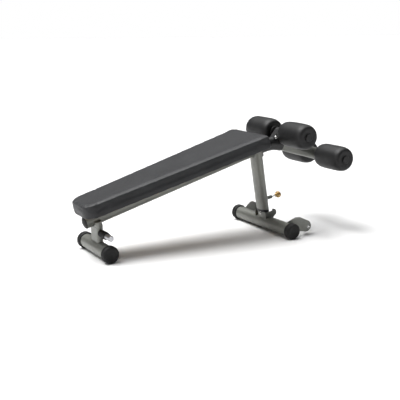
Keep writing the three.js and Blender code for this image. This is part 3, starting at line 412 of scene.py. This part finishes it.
def lathe(name, centre, axis, profile, slot, segments=ROLLER_SEGMENTS, ripple=None):
    """A solid turned about an axis from (distance along it, radius) points.

    A profile that starts and ends off the axis is a ring and closes on itself. ripple gives an
    extra radius from the angle and the distance along the axis.
    """
    side = axis.orthogonal().normalized()
    across = axis.cross(side)
    vertices = []
    rings = []
    for along, radius in profile:
        if radius == 0:
            rings.append([len(vertices)])
            vertices.append(centre + axis * along)
            continue
        ring = []
        for i in range(segments):
            angle = 2 * math.pi * i / segments
            reach = radius + (ripple(angle, along) if ripple else 0)
            ring.append(len(vertices))
            spoke = side * math.cos(angle) + across * math.sin(angle)
            vertices.append(centre + axis * along + spoke * reach)
        rings.append(ring)
    if profile[0][1] > 0:
        rings.append(rings[0])
    faces = []
    for low, high in zip(rings, rings[1:]):
        for i in range(segments):
            j = (i + 1) % segments
            turns = ((low, i), (low, j), (high, j), (high, i))
            corners = [ring[turn % len(ring)] for ring, turn in turns]
            faces.append(list(dict.fromkeys(corners)))  # a point on the axis counts once
    return new_piece(name, vertices, faces, slot)


def middle_of(node):
    low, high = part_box(node)
    return (low + high) / 2


def size_of(node):
    low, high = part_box(node)
    return high - low


def tip_of(node, direction):
    """The node's farthest point in a direction."""
    return max((vertex.co for vertex in nodes[node].data.vertices), key=direction.dot).copy()


# ----------------------------------------------------------------------------------------------
# Pad
# ----------------------------------------------------------------------------------------------


def pad_frame():
    """Placing of the pad's own axes: X up the slope from the head end, Z up from its top."""
    low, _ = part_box("pad_cushion")
    origin = Vector((low[0], 0, low[2] + PAD_THICKNESS * SLOPE_UP.z))
    return Matrix(
        (
            (SLOPE_ALONG.x, 0, SLOPE_UP.x, origin.x),
            (0, 1, 0, 0),
            (SLOPE_ALONG.z, 0, SLOPE_UP.z, origin.z),
            (0, 0, 0, 1),
        )
    )


def evaluated_mesh(piece):
    graph = bpy.context.evaluated_depsgraph_get()
    return bpy.data.meshes.new_from_object(piece.evaluated_get(graph))


def apply_modifiers(piece):
    mesh = evaluated_mesh(piece)
    piece.modifiers.clear()
    piece.data = mesh


def smoothstep(value, start, end):
    share = min(1, max(0, (value - start) / (end - start)))
    return share * share * (3 - 2 * share)


def inflate(piece, hold, cap):
    """Stuffs a cover by cloth simulation. hold gives how firmly a point is held, and cap is the
    most that a point may move."""
    rest = [vertex.co.copy() for vertex in piece.data.vertices]
    held = piece.vertex_groups.new(name="held")
    for vertex in piece.data.vertices:
        held.add([vertex.index], hold(vertex.co), "REPLACE")
    cloth = piece.modifiers.new("Stuffing", "CLOTH")
    settings = cloth.settings
    settings.quality = 4
    settings.mass = 0.25
    settings.tension_stiffness = 25
    settings.compression_stiffness = 25
    settings.shear_stiffness = 12
    settings.bending_stiffness = 2
    settings.vertex_group_mass = "held"
    settings.use_pressure = True
    settings.uniform_pressure_force = 4
    settings.effector_weights.gravity = 0
    cloth.point_cache.frame_start = 1
    cloth.point_cache.frame_end = STUFFING_FRAMES
    for step in range(1, STUFFING_FRAMES + 1):
        bpy.context.scene.frame_set(step)
    swollen = [vertex.co.copy() for vertex in evaluated_mesh(piece).vertices]
    piece.modifiers.clear()
    piece.vertex_groups.clear()
    bpy.context.scene.frame_set(1)
    for vertex, start, end in zip(piece.data.vertices, rest, swollen):
        move = end - start
        distance = move.length
        if distance > 0:
            vertex.co = start + move * (cap * math.tanh(distance / cap) / distance)


def make_pad():
    """The stuffed vinyl cover, stapled round the board underneath."""
    placing = pad_frame()
    mesh = nodes["pad_cushion"].data.copy()
    mesh.transform(placing.inverted())
    welded = bmesh.new()
    welded.from_mesh(mesh)
    bmesh.ops.remove_doubles(welded, verts=welded.verts, dist=SAME_PLACE)
    vertices = [vertex.co.copy() for vertex in welded.verts]
    faces = [[vertex.index for vertex in face.verts] for face in welded.faces]
    welded.free()
    bpy.data.meshes.remove(mesh)

    pad = new_piece("pad_cover", vertices, faces, "pad_cover")
    remesh = pad.modifiers.new("Even", "REMESH")
    remesh.mode = "VOXEL"
    remesh.voxel_size = PAD_VOXEL
    soften = pad.modifiers.new("Soften", "SMOOTH")
    soften.factor = 0.5
    soften.iterations = PAD_SMOOTHING
    apply_modifiers(pad)

    half_widest = size_of("pad_cushion").y / 2
    length = max(vertex.co.x for vertex in pad.data.vertices)
    for vertex in pad.data.vertices:
        free = smoothstep(vertex.co.z + PAD_THICKNESS, PAD_HELD_BELOW, PAD_THICKNESS)
        vertex.co.x += PAD_GROWTH_ENDS * (2 * vertex.co.x / length - 1)
        vertex.co.z -= PAD_SHRINK_TOP * free
        vertex.co.y -= PAD_SHRINK_SIDE * free * vertex.co.y / half_widest

    def held_at(place):
        return 1 - smoothstep(place.z + PAD_THICKNESS, PAD_HELD_BELOW, PAD_FREE_ABOVE)

    inflate(pad, held_at, PAD_SWELL_CAP)
    pad.data.transform(placing)
    pad.data.shade_smooth()
    fine = pad.modifiers.new("Fine", "SUBSURF")
    fine.levels = fine.render_levels = 1
    apply_modifiers(pad)
    pad.data.materials.clear()
    pad.data.materials.append(FINISHES["pad_cover"])
    stand_for(pad, "pad_cushion")


# ----------------------------------------------------------------------------------------------
# Leg rollers
# ----------------------------------------------------------------------------------------------


def roller_profile(length, radius):
    """Barrel section with full round shoulders and an end face dished towards the core."""
    half = length / 2
    end = radius * ROLLER_END_SHARE
    outside = []
    for i in range(ROLLER_RINGS + 1):
        share = -math.cos(math.pi * i / ROLLER_RINGS)
        height = (1 - abs(share) ** ROLLER_FLATNESS) ** (1 / ROLLER_SHOULDER)
        outside.append((half * share, end + (radius - end) * height))
    face = [
        (ROLLER_DISH, ROLLER_BORE),
        (ROLLER_DISH * 0.6, ROLLER_BORE + ROLLER_LIP),
        (ROLLER_DISH * 0.1, end - ROLLER_FACE_RIM),
    ]
    low = [(depth - half, reach) for depth, reach in face]
    high = [(half - depth, reach) for depth, reach in reversed(face)]
    return low + outside + high


def make_roller(label, side, seed):
    """Foam sleeve, a little uneven from handling, as moulded foam is."""
    node = f"roller_foam_{label}_{side}"
    size = size_of(node)
    offset = Vector((seed * 3.7, seed * 1.3, 0))

    def dents(angle, along):
        x, y = math.cos(angle) * DENTS_ROUND, math.sin(angle) * DENTS_ROUND
        return DENT_DEPTH * (noise.noise(Vector((x, y, along * DENTS_ALONG)) + offset) - 0.3)

    profile = roller_profile(size.y, size.z / 2)
    name = f"roller_cover_{label}_{side}"
    roller = lathe(name, middle_of(node), Y_AXIS, profile, "roller_foam", ripple=dents)
    stand_for(roller, node)


def make_rollers():
    places = [(label, side) for label in ("upper", "lower") for side in SIDES]
    for seed, (label, side) in enumerate(places):
        make_roller(label, side, seed)


# ----------------------------------------------------------------------------------------------
# Rubber feet, hand grip and pull knob
# ----------------------------------------------------------------------------------------------


def make_foot(node, sign):
    """Moulded rubber cup with a raised rim, grip grooves and a shallow dish in its end."""
    size = size_of(node)
    radius = size.z / 2
    outer_end = middle_of(node) + Y_AXIS * (sign * size.y / 2)
    bore = radius - FOOT_WALL
    section = [
        (1.2 * MM, 0),
        (1.2 * MM, radius * 0.58),
        (0, radius * 0.62),
        (0, radius * 0.78),
        (1.4 * MM, radius * 0.88),
        (4.0 * MM, radius * 0.95),
        (8.5 * MM, radius * 0.99),
        (12.0 * MM, radius),
    ]
    for groove in range(FOOT_GROOVES):
        start = GROOVE_START + groove * GROOVE_PITCH
        section += [
            (start, radius),
            (start + 0.8 * MM, radius - GROOVE_DEPTH),
            (start + 2.0 * MM, radius - GROOVE_DEPTH),
            (start + 2.8 * MM, radius),
        ]
    section += [
        (size.y - 6.0 * MM, radius - 0.4 * MM),
        (size.y - 2.0 * MM, radius - 2.4 * MM),
        (size.y - 0.2 * MM, radius - 5.0 * MM),
        (size.y, bore + 0.6 * MM),
        (size.y, bore),
        (FOOT_END, bore),
        (FOOT_END, 0),
    ]
    foot = lathe(f"{node}_cup", outer_end, Y_AXIS * -sign, section, "black_rubber")
    stand_for(foot, node)


def make_feet():
    for end in ("low", "high"):
        for side, sign in SIDES.items():
            make_foot(f"{end}_foot_{side}", sign)


def make_grip():
    """Rubber hand grip with rounded finger ribs."""
    node = "handle_grip"
    size = size_of(node)
    radius = size.z / 2
    rib_length = (size.y - 2 * GRIP_END) / GRIP_RIBS
    profile = [
        (0, GRIP_BORE),
        (0, radius - 3 * MM),
        (1.2 * MM, radius - 0.8 * MM),
        (3 * MM, radius - 0.2 * MM),
    ]
    for i in range(GRIP_RIBS * RIB_STEPS + 1):
        along = GRIP_END + rib_length * i / RIB_STEPS
        depth = RIB_DEPTH * (0.5 - 0.5 * math.cos(2 * math.pi * i / RIB_STEPS))
        profile.append((along, radius - depth))
    profile += [
        (size.y - 3 * MM, radius - 0.8 * MM),
        (size.y - 0.6 * MM, radius - 2 * MM),
        (size.y, radius - 4 * MM),
        (size.y, GRIP_BORE),
    ]
    start = middle_of(node) + Y_AXIS * (size.y / 2)
    grip = lathe("handle_grip_sleeve", start, -Y_AXIS, profile, "black_rubber")
    stand_for(grip, node)


def make_knob():
    """Pull knob with finger flutes round a waisted head."""
    node = "pin_knob"
    outer = tip_of(node, POST_OUT)
    inner = tip_of(node, -POST_OUT)
    length = (outer - inner).dot(POST_OUT)
    radius = size_of(node).y / 2
    on_axis = middle_of("pin_housing")
    start = on_axis + POST_OUT * (inner - on_axis).dot(POST_OUT)
    start.y = 0
    shares = [
        (0.0, KNOB_BORE / radius),
        (0.0, 0.46),
        (0.03, 0.52),
        (0.08, 0.60),
        (0.20, 0.66),
        (0.28, 0.78),
        (0.36, 0.94),
        (0.44, 1.0),
        (0.60, 1.0),
        (0.78, 0.99),
        (0.88, 0.95),
        (0.95, 0.86),
        (0.985, 0.74),
        (1.0, 0.60),
        (1.0, 0.30),
        (0.985, 0.18),
        (0.985, 0),
    ]
    profile = [(length * along, radius * share) for along, share in shares]
    rod_end = length - KNOB_ROD_COVER + KNOB_ROD_GAP
    profile = [(rod_end, 0), (rod_end, KNOB_BORE)] + profile

    def flute(angle, along):
        share = along / length
        depth = smoothstep(share, 0.3, 0.46) * (1 - smoothstep(share, 0.8, 0.95))
        return -FLUTE_DEPTH * depth * (0.5 - 0.5 * math.cos(KNOB_FLUTES * angle)) ** 2

    knob = lathe("pin_knob_head", start, POST_OUT, profile, "gold_knob", ripple=flute)
    stand_for(knob, node)


# ----------------------------------------------------------------------------------------------
# Bolts with socket heads
# ----------------------------------------------------------------------------------------------


def socket_bolt(node, direction, shank_radius, head_radius, head_height, length):
    """A dome-headed bolt with a hexagonal socket, its head facing a direction."""
    top = tip_of(node, direction)
    crown = -head_height * CROWN_FLAT
    profile = [
        (-head_height - length, 0),
        (-head_height - length, shank_radius - 0.5 * MM),
        (-head_height - length + 0.6 * MM, shank_radius),
        (-head_height, shank_radius),
        (-head_height, head_radius - 0.3 * MM),
        (-head_height + 0.3 * MM, head_radius),
        (-head_height * 0.62, head_radius * 0.97),
        (-head_height * 0.30, head_radius * 0.80),
        (crown, head_radius * 0.66),
        (crown, 0),
    ]
    bolt = lathe(f"{node}_socket", top, direction, profile, "bright_steel", BOLT_SEGMENTS)
    cut_socket(bolt, top, direction, head_radius * SOCKET_ACROSS, head_height)
    stand_for(bolt, node)


def cut_socket(bolt, top, direction, half_across, head_height):
    """Opens the middle of a bolt's head and sinks a hexagon into it."""
    side = direction.orthogonal().normalized()
    across = direction.cross(side)
    shape = bmesh.new()
    shape.from_mesh(bolt.data)
    apex = min(shape.verts, key=lambda vertex: (vertex.co - top).length)
    bmesh.ops.delete(shape, geom=[apex], context="VERTS")
    for vertex in rim_pulled_in(shape):
        place = vertex.co - top
        angle = math.atan2(place.dot(across), place.dot(side))
        sector = (angle % (math.pi / 3)) - math.pi / 6
        spoke = side * math.cos(angle) + across * math.sin(angle)
        mouth = top - direction * head_height * SOCKET_LEAD_IN
        vertex.co = mouth + spoke * (half_across / math.cos(sector))
    for vertex in rim_pulled_in(shape):
        vertex.co -= direction * head_height * SOCKET_DEPTH
    bmesh.ops.holes_fill(shape, edges=[edge for edge in shape.edges if edge.is_boundary])
    bmesh.ops.recalc_face_normals(shape, faces=shape.faces)
    shape.to_mesh(bolt.data)
    shape.free()
    bolt.data.shade_smooth()
    bolt.data.set_sharp_from_angle(angle=SHARP_ANGLE)


def rim_pulled_in(shape):
    """Extrudes the open rim and gives its new vertices, which the caller then moves."""
    rim = [edge for edge in shape.edges if edge.is_boundary]
    result = bmesh.ops.extrude_edge_only(shape, edges=rim)
    return [item for item in result["geom"] if isinstance(item, bmesh.types.BMVert)]


def bolt_size(node, direction):
    """Shank radius, head radius, head height and shank length of a bolt node."""
    vertices = [vertex.co for vertex in nodes[node].data.vertices]
    top = tip_of(node, direction)
    depths = sorted({round((top - place).dot(direction), 5) for place in vertices})
    spread = {
        depth: max(
            (place - top + direction * depth).length
            for place in vertices
            if abs((top - place).dot(direction) - depth) < SAME_PLACE
        )
        for depth in depths
    }
    head_radius = max(spread.values())
    wide = [depth for depth, reach in spread.items() if abs(reach - head_radius) < SAME_PLACE]
    head_height, full_length = max(wide), depths[-1]
    return spread[full_length], head_radius, head_height, full_length - head_height


def make_bolts():
    bolts = {
        "axle_bolt": -Y_AXIS,
        "leg_bolt": -POST_OUT,
        "wheel_bolt_left": Y_AXIS,
        "wheel_bolt_right": -Y_AXIS,
    }
    for end in ("low", "high"):
        for side in SIDES:
            bolts[f"pad_screw_{end}_{side}"] = -SLOPE_UP
    for node, direction in bolts.items():
        socket_bolt(node, direction, *bolt_size(node, direction))


# ----------------------------------------------------------------------------------------------
# Weld beads
# ----------------------------------------------------------------------------------------------


def weld_bead(name, path, radius, body):
    """A rippled bead along a closed path."""
    vertices = []
    count = len(path)
    travelled = 0
    for i, place in enumerate(path):
        ahead = (path[(i + 1) % count] - path[i - 1]).normalized()
        travelled += (place - path[i - 1]).length if i else 0
        side = ahead.cross(Vector((0, 0, 1))).normalized()
        up = side.cross(ahead)
        ripple = math.cos(2 * math.pi * travelled / (BEAD_RIPPLE_PITCH * radius))
        reach = radius * (1 + BEAD_RIPPLE * ripple)
        for k in range(BEAD_SIDES):
            angle = 2 * math.pi * k / BEAD_SIDES
            spoke = side * math.cos(angle) + up * math.sin(angle)
            vertices.append(place + spoke * reach)
    faces = []
    for i in range(count):
        here, ahead = i * BEAD_SIDES, ((i + 1) % count) * BEAD_SIDES
        for k in range(BEAD_SIDES):
            j = (k + 1) % BEAD_SIDES
            faces.append((here + k, here + j, ahead + j, ahead + k))
    bead = new_piece(name, vertices, faces, "frame_paint")
    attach(bead, body)


def oval_foot(tube_middle, tube_radius, depth, width, flat_sides, lean=0.0):
    """Where an oval post meets the round cross tube that it stands on. A post with flat sides has
    half-round ends, and a leaning post meets the tube a little further back."""
    path = []
    for i in range(OVAL_STEPS):
        angle = 2 * math.pi * i / OVAL_STEPS
        if flat_sides:
            radius = depth / 2
            straight = width / 2 - radius
            x = radius * math.cos(angle)
            y = radius * math.sin(angle) + math.copysign(straight, math.sin(angle))
        else:
            x = depth / 2 * math.cos(angle)
            y = width / 2 * math.sin(angle)
        z = math.sqrt(max(0, tube_radius**2 - x * x))
        x -= math.tan(lean) * z
        z = math.sqrt(max(0, tube_radius**2 - x * x))
        path.append(Vector((tube_middle.x + x, y, tube_middle.z + z)))
    return path


def even_path(path, spacing):
    """The same closed path with points at an even spacing."""
    closed = path + [path[0]]
    lengths = [0]
    for a, b in zip(closed, closed[1:]):
        lengths.append(lengths[-1] + (b - a).length)
    count = int(lengths[-1] / spacing)
    result = []
    k = 0
    for i in range(count):
        target = lengths[-1] * i / count
        while lengths[k + 1] < target:
            k += 1
        share = (target - lengths[k]) / (lengths[k + 1] - lengths[k])
        result.append(closed[k].lerp(closed[k + 1], share))
    return result


def make_welds():
    low_tube = middle_of("low_cross_tube")
    high_tube = middle_of("high_cross_tube")
    radius = size_of("low_cross_tube").z / 2
    post = size_of("low_post")
    low = oval_foot(low_tube, radius, post.x, post.y, flat_sides=True)
    weld_bead("weld_low_post", even_path(low, BEAD_SPACING), BEAD_RADIUS, "bench")
    leg_width = size_of("inner_leg").y
    leg_depth = leg_width - LEG_OVAL
    high = oval_foot(high_tube, radius, leg_depth, leg_width, flat_sides=False, lean=POST_LEAN)
    weld_bead("weld_leg", even_path(high, BEAD_SPACING), BEAD_RADIUS, "high_base")


# ----------------------------------------------------------------------------------------------
# Model nodes that stay: smooth normals, broken edges and their finish
# ----------------------------------------------------------------------------------------------

EDGE_BREAK = {
    "pad_plate_low": 0.6 * MM,
    "pad_plate_high": 0.6 * MM,
    "foot_gusset_left": 0.8 * MM,
    "foot_gusset_right": 0.8 * MM,
    "wheel_bracket_left": 0.8 * MM,
    "wheel_bracket_right": 0.8 * MM,
    "axle_bracket": 1.2 * MM,
    "post_collar": 0.8 * MM,
    "pad_board": 0.8 * MM,
}


def dress_node(name, node):
    """Smooths and finishes a model node, and breaks its sharp edges if it is listed above."""
    mesh = node.data
    if "custom_normal" in mesh.attributes:
        mesh.attributes.remove(mesh.attributes["custom_normal"])
    mesh.shade_smooth()
    weld = node.modifiers.new("Weld", "WELD")
    weld.merge_threshold = SAME_PLACE
    if name in EDGE_BREAK:
        bevel = node.modifiers.new("Edges", "BEVEL")
        bevel.width = EDGE_BREAK[name]
        bevel.segments = 2
        bevel.limit_method = "ANGLE"
        bevel.angle_limit = CREASE_ANGLE
    creases = node.modifiers.new("Creases", "EDGE_SPLIT")
    creases.split_angle = CREASE_ANGLE
    flat = node.modifiers.new("Flat faces", "WEIGHTED_NORMAL")
    flat.keep_sharp = True
    mesh.materials.clear()
    mesh.materials.append(FINISHES[SLOT_OF[name]])


# ----------------------------------------------------------------------------------------------
# Stage, light and camera
# ----------------------------------------------------------------------------------------------


def make_floor():
    """A plane under both round cross tubes. It pivots about the low tube and aims at the high one,
    so both stay on it when the leg slides out and the bench would tip."""
    low_tube = middle_of("low_cross_tube")
    high_tube = middle_of("high_cross_tube")
    mesh = bpy.data.meshes.new("floor")
    corners = [(-1, -1), (1, -1), (1, 1), (-1, 1)]
    points = [(x * FLOOR_REACH, y * FLOOR_REACH, -low_tube.z) for x, y in corners]
    mesh.from_pydata(points, [], [(0, 1, 2, 3)])
    floor = bpy.data.objects.new("floor", mesh)
    floor.location = (low_tube.x, 0, low_tube.z)
    bpy.context.scene.collection.objects.link(floor)
    aim = bpy.data.objects.new("floor_aim", None)
    aim.location = (high_tube.x, 0, low_tube.z)
    bpy.context.scene.collection.objects.link(aim)
    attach(aim, "high_base")
    pivot = floor.constraints.new("DAMPED_TRACK")
    pivot.target = aim
    pivot.track_axis = "TRACK_X"
    paint = bpy.data.materials.new("floor_white")
    paint.use_nodes = True
    shader = paint.node_tree.nodes["Principled BSDF"]
    shader.inputs["Base Color"].default_value = (*grey(FLOOR_GREY), 1)
    shader.inputs["Roughness"].default_value = 0.9
    shader.inputs["Specular IOR Level"].default_value = 0.1
    mesh.materials.append(paint)


def aimed(thing, place, target):
    """Puts a light or the camera at a place, looking at a target."""
    thing.location = place
    thing.rotation_euler = (target - place).to_track_quat("-Z", "Y").to_euler()
    bpy.context.scene.collection.objects.link(thing)
    return thing


def soft_sun(name, direction, spread, strength):
    """A far light from a direction, as soft as a sky dome of that many degrees."""
    light = bpy.data.lights.new(name, "SUN")
    light.angle = math.radians(spread)
    light.energy = strength
    aimed(bpy.data.objects.new(name, light), direction.normalized() * SUN_DISTANCE, Vector())


def strip_box(name, place, target, width, height, power):
    """A rectangular softbox with its power in watts."""
    light = bpy.data.lights.new(name, "AREA")
    light.shape = "RECTANGLE"
    light.size = width
    light.size_y = height
    light.energy = power
    aimed(bpy.data.objects.new(name, light), place, target)


def make_world():
    """Even grey light all round, shown to the camera as a white backdrop."""
    world = bpy.data.worlds.new("studio")
    world.use_nodes = True
    tree = world.node_tree
    fill = tree.nodes["Background"]
    fill.inputs["Color"].default_value = WHITE
    fill.inputs["Strength"].default_value = AMBIENT
    backdrop = tree.nodes.new("ShaderNodeBackground")
    backdrop.inputs["Color"].default_value = WHITE
    path = tree.nodes.new("ShaderNodeLightPath")
    choice = tree.nodes.new("ShaderNodeMixShader")
    tree.links.new(path.outputs["Is Camera Ray"], choice.inputs[0])
    tree.links.new(fill.outputs["Background"], choice.inputs[1])
    tree.links.new(backdrop.outputs["Background"], choice.inputs[2])
    tree.links.new(choice.outputs["Shader"], tree.nodes["World Output"].inputs["Surface"])
    bpy.context.scene.world = world


def make_light():
    make_world()
    soft_sun("key", KEY_FROM, spread=35, strength=4.0)
    soft_sun("overhead", OVERHEAD_FROM, spread=60, strength=2.1)
    strip_box("strip", STRIP_PLACE, STRIP_TARGET, width=0.7, height=2.2, power=34)


def make_camera():
    camera = bpy.data.cameras.new("camera")
    camera.sensor_width = CAMERA_SENSOR
    camera.lens = CAMERA_LENS
    camera.clip_end = CAMERA_REACH
    thing = bpy.data.objects.new("camera", camera)
    bpy.context.scene.camera = aimed(thing, CAMERA_PLACE, CAMERA_TARGET)


bpy.context.scene.view_settings.view_transform = "Standard"

make_camera()
make_light()
make_floor()
make_pad()
make_rollers()
make_feet()
make_grip()
make_knob()
make_bolts()
make_welds()
for node_name, node_object in nodes.items():
    dress_node(node_name, node_object)
